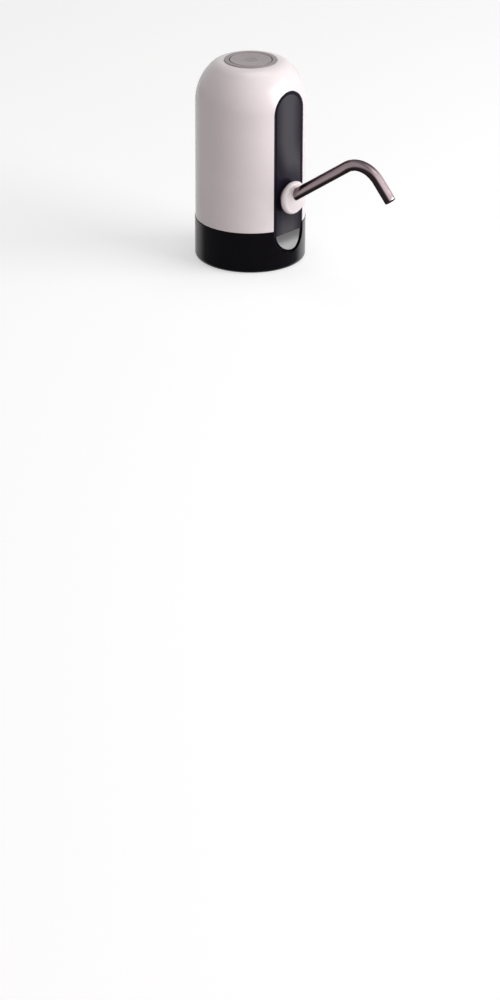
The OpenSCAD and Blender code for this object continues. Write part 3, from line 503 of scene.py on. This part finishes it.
# %% Mix the plastics
# Columns: colour, roughness, grain in mm, depth of the grain in mm, clouds, smudges, dust
PLASTICS = {
    "white_shell": ((0.81, 0.738, 0.752), 0.26, 0.35, 0.004, 0.012, 0.012, 0.10),
    "black_gloss": ((0.003, 0.0025, 0.004), 0.12, 0.5, 0.002, 0.10, 0.10, 0.20),
    "black_inner": ((0.030, 0.030, 0.033), 0.48, 0.7, 0.03, 0.15, 0.10, 0.30),
    "grey_button": ((0.325, 0.278, 0.287), 0.38, 0.25, 0.008, 0.04, 0.08, 0.35),
    "dark_lens": ((0.22, 0.175, 0.188), 0.24, 0.4, 0.003, 0.05, 0.08, 0.30),
    "soft_seal": ((0.16, 0.165, 0.17), 0.62, 0.3, 0.02, 0.12, 0.12, 0.40),
    "pale_plastic": ((0.66, 0.66, 0.63), 0.42, 0.6, 0.02, 0.03, 0.08, 0.15),
    "pump_plastic": ((0.022, 0.022, 0.024), 0.44, 0.6, 0.025, 0.15, 0.10, 0.25),
    "gear_plastic": ((0.72, 0.69, 0.58), 0.34, 0.5, 0.008, 0.04, 0.10, 0.10),
    "clear_hose": ((0.68, 0.70, 0.69), 0.30, 0.9, 0.02, 0.04, 0.12, 0.10),
    "led_lens": ((0.72, 0.78, 0.84), 0.08, 0.8, 0.002, 0.03, 0.05, 0.05),
    "panel_black": ((0.012, 0.009, 0.018), 0.14, 0.6, 0.0015, 0.10, 0.10, 0.20),
    # The ring's grey is the button's grey darkened, as painted shade round the button.
    "bezel_painted_shade_grey": ((0.25, 0.212, 0.22), 0.34, 0.3, 0.006, 0.04, 0.08, 0.30),
}
EXTRAS = {
    "white_shell": {"Coat Weight": 0.12, "Coat Roughness": 0.12},
    "black_gloss": {"Specular IOR Level": 0.04, "Coat Roughness": 0.36, "Coat IOR": 2.0},
    "gear_plastic": {"Subsurface Weight": 0.15, "Subsurface Scale": 0.001},
    "clear_hose": {"Subsurface Weight": 0.35, "Subsurface Scale": 0.002},
    "led_lens": {"Transmission Weight": 0.6, "IOR": 1.5},
    "panel_black": {"Specular IOR Level": 0.06, "Coat Roughness": 0.05, "Coat IOR": 1.5},
}
LACQUERS = {"black_gloss": foot_lacquer, "panel_black": panel_lacquer}

finishes = {name: moulded(name, *row, EXTRAS.get(name), LACQUERS.get(name))
            for name, row in PLASTICS.items()}
print("plastics:", len(finishes))

# %% [markdown]
# ## Metals
# The motor's can is plated sheet, the bushes are sintered bronze with open pores, and the magnets are
# pressed ceramic. A flat grey would look like paint, so every metal gets its own trace of how it was
# made: lines round the can, pores in the bronze, grains in the magnet. One recipe does it, because
# lines, pores and grains are the same noise, squeezed in other ways.

# %% Recipe for metal
LINE_DARK, LINE_LIGHT, METAL_SMUDGE = 0.84, 1.10, 9.0


def metal(name, colour, gloss, stretch, depth, rubbed=0.10, attribute=None, plain=None, bands=None):
    """A metal with lines of making. Stretch is how many lines there are per metre along x, y and z."""
    material, tree = new_material(name)
    if attribute:
        place = add(tree, "Attribute", attribute_name=attribute).outputs["Vector"]
    else:
        place = add(tree, "TexCoord").outputs["Object"]
    scaled = add(tree, "VectorMath", {0: place, 1: stretch}, operation="MULTIPLY").outputs[0]
    line = place_effect(tree, drawn_lines, Vector=scaled).outputs["Line"]
    marks = place_effect(tree, handling_marks, Smudge_size_in_mm=METAL_SMUDGE)
    base = tint(tree, line, shade(colour, LINE_DARK), shade(colour, LINE_LIGHT))
    # Optional bands of painted highlight and painted shade tint the colour lighter or darker.
    for mask, factor in (bands(tree, place, line) if bands else ()):
        base = tint(tree, mask, base, shade(colour, factor))
    rough = sums(tree, "MULTIPLY_ADD", line, rubbed, gloss)
    rough = sums(tree, "MULTIPLY_ADD", marks.outputs["Smudge"], rubbed, rough)
    finish_surface(tree, base, rough, line, depth * MM, {"Metallic": 1.0, **(plain or {})})
    return material


# Columns: colour, roughness, lines per metre along x, y and z, depth of the lines in mm
METALS = {
    "motor_steel": ((0.55, 0.56, 0.58), 0.26, (120, 120, 2400), 0.002),
    "screw_steel": ((0.58, 0.60, 0.62), 0.24, (900, 900, 900), 0.003),
    "bronze": ((0.52, 0.35, 0.16), 0.40, (2200, 2200, 2200), 0.02),
    "magnet": ((0.10, 0.10, 0.105), 0.52, (1600, 1600, 1600), 0.03),
}
finishes.update({name: metal(name, *row) for name, row in METALS.items()})
print("metals:", list(METALS))

# %% [markdown]
# ## The spout's polished steel
# The spout is drawn stainless tube, polished along its length and then bent. Its colour carries painted
# reflections: the outer side of the falling leg is painted lighter as a painted highlight, the crown of
# the bend is painted darker as painted shade, and the inner and lower side is painted dark as a painted
# reflection. A picture wrapped round the tube could show this. Masks from the place along and round the
# tube do it without one, and stay sharp.

# %% Polish the spout's steel
TUBE_RADIUS = 3.6 * MM
BEND_START, BEND_RADIUS, TURN = 54.8 * MM, 20.5 * MM, math.radians(81.3)
BEND_END = BEND_START + TURN * BEND_RADIUS
# The painted highlight starts this far along the spout.
PAINTED_HIGHLIGHT_FROM = 73 * MM
# Where the painted dark crown starts and fades along the spout; the painted dark inside starts at the same
# place.
PAINTED_BANDS_BEFORE_BEND, DARK_CROWN_RISE, DARK_CROWN_FADE = 6 * MM, 3 * MM, 9 * MM
RAGGED = 0.12
# Colour factors of the painted highlight, the painted dark crown and the painted dark inside.
PAINTED_HIGHLIGHT_SHADE, PAINTED_DARK_CROWN_SHADE, PAINTED_DARK_INSIDE_SHADE = 2.3, 0.4, 0.08
LINES_ALONG_SPOUT = (700, 700, 6)
STEEL_TINT = (0.45, 0.43, 0.43)


def painted_reflection_bands(tree, place, line):
    """Bands of painted highlight and painted shade: a mask and a shade for each. Lift is 1 on the outer
    side, -1 inside.
    """
    around, distance = add(tree, "SeparateXYZ", {0: place}).outputs[1:]
    lift = sums(tree, "DIVIDE", around, TUBE_RADIUS)
    lift = sums(tree, "MULTIPLY_ADD", sums(tree, "SUBTRACT", line, 0.5), RAGGED, lift)
    falling = ramp(tree, distance, PAINTED_HIGHLIGHT_FROM, BEND_END)
    # Painted highlight: the outer side of the falling leg is painted 2.3 times lighter.
    painted_highlight = sums(tree, "MULTIPLY", ramp(tree, lift, 0.50, 0.78), falling)
    # Painted shade: the crown of the bend is painted darker, to 0.4 of the colour.
    dark_crown_span = sums(tree, "MULTIPLY", ramp(tree, distance, BEND_START - PAINTED_BANDS_BEFORE_BEND, BEND_START + DARK_CROWN_RISE),
                  ramp(tree, distance, PAINTED_HIGHLIGHT_FROM, PAINTED_HIGHLIGHT_FROM + DARK_CROWN_FADE, 1.0, 0.0))
    painted_dark_crown = sums(tree, "MULTIPLY", ramp(tree, lift, 0.55, 0.95), dark_crown_span)
    # Painted reflection: the inner and lower side is painted nearly black, up to a limit that climbs round
    # the tube along the bend.
    dark_inside_limit = ramp(tree, distance, BEND_START - PAINTED_BANDS_BEFORE_BEND, BEND_END, -0.25, 0.80)
    painted_dark_inside = ramp(tree, sums(tree, "SUBTRACT", lift, dark_inside_limit), -0.34, 0.0, 1.0, 0.0)
    return (painted_highlight, PAINTED_HIGHLIGHT_SHADE), (painted_dark_crown, PAINTED_DARK_CROWN_SHADE), (painted_dark_inside, PAINTED_DARK_INSIDE_SHADE)


finishes["polished_steel"] = metal(
    "polished_steel", (0.262, 0.205, 0.22), 0.10, LINES_ALONG_SPOUT, 0.0012, rubbed=0.07,
    attribute="along_spout", plain={"Specular Tint": rgba(STEEL_TINT)}, bands=painted_reflection_bands)
print("bend in mm along the spout:", round(BEND_START / MM, 1), "to", round(BEND_END / MM, 1))

# %% [markdown]
# ## Copper turns, a sleeved cell and green boards
# Three finishes inside the pump have a pattern of their own. The armature is wound with enamelled wire,
# so bands a wire apart run round it. The cell wears a blue shrink sleeve that stops just short of its
# metal ends. The boards show copper tracks under green lacquer. Each could be modelled, but they sit
# inside a closed housing, so a pattern in the finish is enough.

# %% Winding, sleeve and boards
PATTERN_SMUDGE = 0.1
TURNS_SCALE, TRACKS_SCALE, TRACK_WIDTH, PADS_PER_METRE = 320.0, 90.0, 0.06, 260.0
TOP_BARE, BOTTOM_BARE, SLEEVE_EDGE = 1.3 * MM, 0.5 * MM, 0.1 * MM


def patterned(name, mask_of, low, high, gloss, depth, metal_low=0.0, metal_high=0.0):
    """A finish of two colours that a mask divides; the metal share follows the mask too."""
    material, tree = new_material(name)
    mask = mask_of(tree, add(tree, "TexCoord").outputs["Object"])
    marks = place_effect(tree, handling_marks)
    base = tint(tree, mask, rgba(low), rgba(high))
    rough = sums(tree, "MULTIPLY_ADD", marks.outputs["Smudge"], PATTERN_SMUDGE, gloss)
    shader = finish_surface(tree, base, rough, mask, depth * MM, {})
    tree.links.new(ramp(tree, mask, 0.0, 1.0, metal_low, metal_high), shader.inputs["Metallic"])
    return material


def wire_turns(tree, place):
    bands = add(tree, "TexWave", {"Vector": place, "Scale": TURNS_SCALE, "Distortion": 0.4, "Detail": 1.0},
                bands_direction="Z")
    return ramp(tree, bands.outputs["Fac"], 0.1, 0.9)


def bare_ends(tree, place):
    height = add(tree, "SeparateXYZ", {0: place}).outputs[2]
    low_z, high_z = (corner.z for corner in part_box("battery_cell"))
    upper = ramp(tree, height, high_z - TOP_BARE, high_z - TOP_BARE + SLEEVE_EDGE)
    lower = ramp(tree, height, low_z + BOTTOM_BARE, low_z + BOTTOM_BARE + SLEEVE_EDGE, 1.0, 0.0)
    return sums(tree, "MAXIMUM", upper, lower)


def copper_tracks(tree, place):
    bricks = add(tree, "TexBrick", {"Vector": place, "Scale": TRACKS_SCALE, "Mortar Size": TRACK_WIDTH,
                                    "Color1": BLACK, "Color2": BLACK, "Mortar": WHITE})
    pads = add(tree, "TexVoronoi", {"Vector": place, "Scale": PADS_PER_METRE})
    dots = ramp(tree, pads.outputs["Distance"], 0.16, 0.20, 1.0, 0.0)
    return sums(tree, "MAXIMUM", bricks.outputs["Fac"], dots)


# Columns: mask, colour where it is 0, colour where it is 1, roughness, depth in mm, metal shares
PATTERNS = {
    "winding": (wire_turns, (0.20, 0.08, 0.035), (0.62, 0.28, 0.12), 0.28, 0.15, 0.8, 1.0),
    "cell_sleeve": (bare_ends, (0.03, 0.14, 0.30), (0.62, 0.62, 0.63), 0.30, 0.02, 0.0, 1.0),
    "green_board": (copper_tracks, (0.012, 0.10, 0.045), (0.03, 0.17, 0.07), 0.30, 0.03),
}
finishes.update({name: patterned(name, *row) for name, row in PATTERNS.items()})
print("finishes:", sorted(finishes))

# %% [markdown]
# ## Give each solid its finish
# The imported record says which finish every solid takes, so a loop can hand them out. Two solids have a
# shade of their own within their slot: the front panel, which is lacquered, and the ring round the
# button, which is painted a little darker than the button as painted shade round the button's edge.

# %% Hand out the finishes
slot_of = {part["node"]: part["material_slot"] for part in frame["record"]["subparts"]}
own_shade = {"front_panel": "panel_black", "button_bezel": "bezel_painted_shade_grey"}
for name, solid in frame["nodes"].items():
    solid.data.materials.clear()
    solid.data.materials.append(finishes[own_shade.get(name, slot_of[name])])
print("dressed:", len(slot_of), "solids in", len(set(slot_of.values())), "slots")

# %% [markdown]
# ## The spout's centre line
# The spout is one steel tube, bent round a former and cut square, with its lip deburred. A curve with
# a bevel would be quick, but its lip would be sharp and its wall would have no thickness. So rings of
# points are carried along the centre line. A function of the distance along it gives the rising leg, the
# bend and the falling leg, and the way the tube runs at each place.

# %% Follow the centre line
SPOUT_KNEE = Vector((34.921 * MM, 0, SPOUT_HEIGHT))
RISE = math.radians(34.3)


def spout_line(distance):
    """A point on the spout's centre line, and the way it runs there."""
    along = Vector((math.cos(RISE), 0, math.sin(RISE)))
    if distance <= BEND_START:
        return SPOUT_KNEE + along * distance, along
    outward = Vector((-along.z, 0, along.x))
    centre = SPOUT_KNEE + along * BEND_START - outward * BEND_RADIUS
    turned = min((distance - BEND_START) / BEND_RADIUS, TURN)
    spin = Matrix.Rotation(turned, 3, "Y")
    rest = max(0.0, distance - BEND_END)
    return centre + spin @ outward * BEND_RADIUS + spin @ along * rest, spin @ along


print("bend ends at, in mm:", [round(part / MM, 1) for part in spout_line(BEND_END)[0]])

# %% [markdown]
# ## Rings along the spout
# The rings go up the rising leg, round the bend, down the falling leg, over the rounded lip, and back
# through the bore. Rings at random distances would make reflections wobble, so each stretch gets even
# ones, with more of them in the bend.

# %% Choose the rings
RISE_START, FALL_LENGTH, TUBE_WALL = 1.0 * MM, 14.6 * MM, 0.7 * MM
RING_POINTS, BEND_RINGS, LEG_RINGS, LIP_RINGS = 64, 40, 14, 8


def even(first, last, count):
    return [first + (last - first) * i / (count - 1) for i in range(count)]


tip = BEND_END + FALL_LENGTH
half_wall = TUBE_WALL / 2
lip_from = tip - half_wall
stations = (even(RISE_START, BEND_START, LEG_RINGS) + even(BEND_START, BEND_END, BEND_RINGS)[1:]
            + even(BEND_END, lip_from, LEG_RINGS)[1:])
lip = [(lip_from + half_wall * math.sin(t), TUBE_RADIUS - half_wall + half_wall * math.cos(t))
       for t in even(0, math.pi, LIP_RINGS)[1:-1]]
sections = ([(station, TUBE_RADIUS) for station in stations] + lip
            + [(station, TUBE_RADIUS - TUBE_WALL) for station in reversed(stations)])
print("spout: rings", len(sections), "length in mm", round(tip / MM, 1))

# %% [markdown]
# ## The spout's skin
# Faces between neighbouring rings make the skin, and the last ring joins the first, so that the tube is
# closed. Each point also notes where it lies round and along the tube, which is what the polished steel
# reads. A coordinate map could hold the same, but it would have a seam. The swept tube takes the place
# of the solid one and rides on the same body.

# %% Skin the spout
SIDE = Vector((0, 1, 0))

sweep = bmesh.new()
rings, traces = [], []
for distance, radius in sections:
    centre, along = spout_line(distance)
    over = along.cross(SIDE)
    ring = []
    for i in range(RING_POINTS):
        angle = math.tau * i / RING_POINTS
        ring.append(sweep.verts.new(centre + radius * (math.cos(angle) * SIDE + math.sin(angle) * over)))
        traces.append((TUBE_RADIUS * math.cos(angle), TUBE_RADIUS * math.sin(angle), distance))
    rings.append(ring)
for ring, after in zip(rings, rings[1:] + rings[:1]):
    for i in range(RING_POINTS):
        j = (i + 1) % RING_POINTS
        sweep.faces.new((ring[i], ring[j], after[j], after[i]))
bmesh.ops.recalc_face_normals(sweep, faces=sweep.faces)
spout_mesh = bpy.data.meshes.new("steel_spout")
sweep.to_mesh(spout_mesh)
sweep.free()
trace = spout_mesh.attributes.new("along_spout", "FLOAT_VECTOR", "POINT")
trace.data.foreach_set("vector", [part for point in traces for part in point])
spout_mesh.shade_smooth()
spout_mesh.materials.append(finishes["polished_steel"])
steel_spout = bpy.data.objects.new("steel_spout", spout_mesh)
bpy.context.scene.collection.objects.link(steel_spout)
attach(steel_spout, "spout")
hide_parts("spout_tube")
print("spout: faces", len(spout_mesh.polygons))

# %% [markdown]
# ## Contacts in the charging socket
# Behind the port at the back is a small socket with a tongue. The tongue carries gilded strips on both
# faces. They are far too small for the solid model, but a close look into the port would miss them.
# Each strip is a thin plate with its edges bevelled, and all of them are one mesh.

# %% Lay the contacts
CONTACT_COUNT, CONTACT_PITCH, CONTACT_BEVEL = 12, 0.5 * MM, 0.02 * MM
CONTACT_SIZE = Vector((3.4, 0.27, 0.06)) * MM
TONGUE_THICKNESS, TONGUE_START = 0.7 * MM, 1.3 * MM

socket_low, socket_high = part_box("charge_socket")
socket_mid = (socket_low + socket_high) / 2
strips = bmesh.new()
for face in (-1, 1):
    for i in range(CONTACT_COUNT):
        y = (i - (CONTACT_COUNT - 1) / 2) * CONTACT_PITCH
        middle = Vector((socket_low.x + TONGUE_START + CONTACT_SIZE.x / 2, y,
                         socket_mid.z + face * TONGUE_THICKNESS / 2))
        bmesh.ops.create_cube(strips, size=1, matrix=Matrix.LocRotScale(middle, None, CONTACT_SIZE))
bmesh.ops.bevel(strips, geom=strips.edges[:], offset=CONTACT_BEVEL, segments=2, affect="EDGES")
strips_mesh = bpy.data.meshes.new("socket_contacts")
strips.to_mesh(strips_mesh)
strips.free()
gilding = metal("gilding", (0.78, 0.56, 0.22), 0.20, (2500, 300, 300), 0.001)
strips_mesh.materials.append(gilding)
socket_contacts = bpy.data.objects.new("socket_contacts", strips_mesh)
bpy.context.scene.collection.objects.link(socket_contacts)
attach(socket_contacts, "housing")
print("contacts:", 2 * CONTACT_COUNT)

# %% [markdown]
# ## Measure and finish
# The growth of the dressed pump's box over the box of its solids is printed. The
# dressed pump has to stay inside the box of its solids.

# %% Print how much the box grew
visual_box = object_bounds()
grown = (visual_box[1] - visual_box[0]) - (cad_box[1] - cad_box[0])
print("grown in mm:", [round(side / MM, 3) for side in grown])
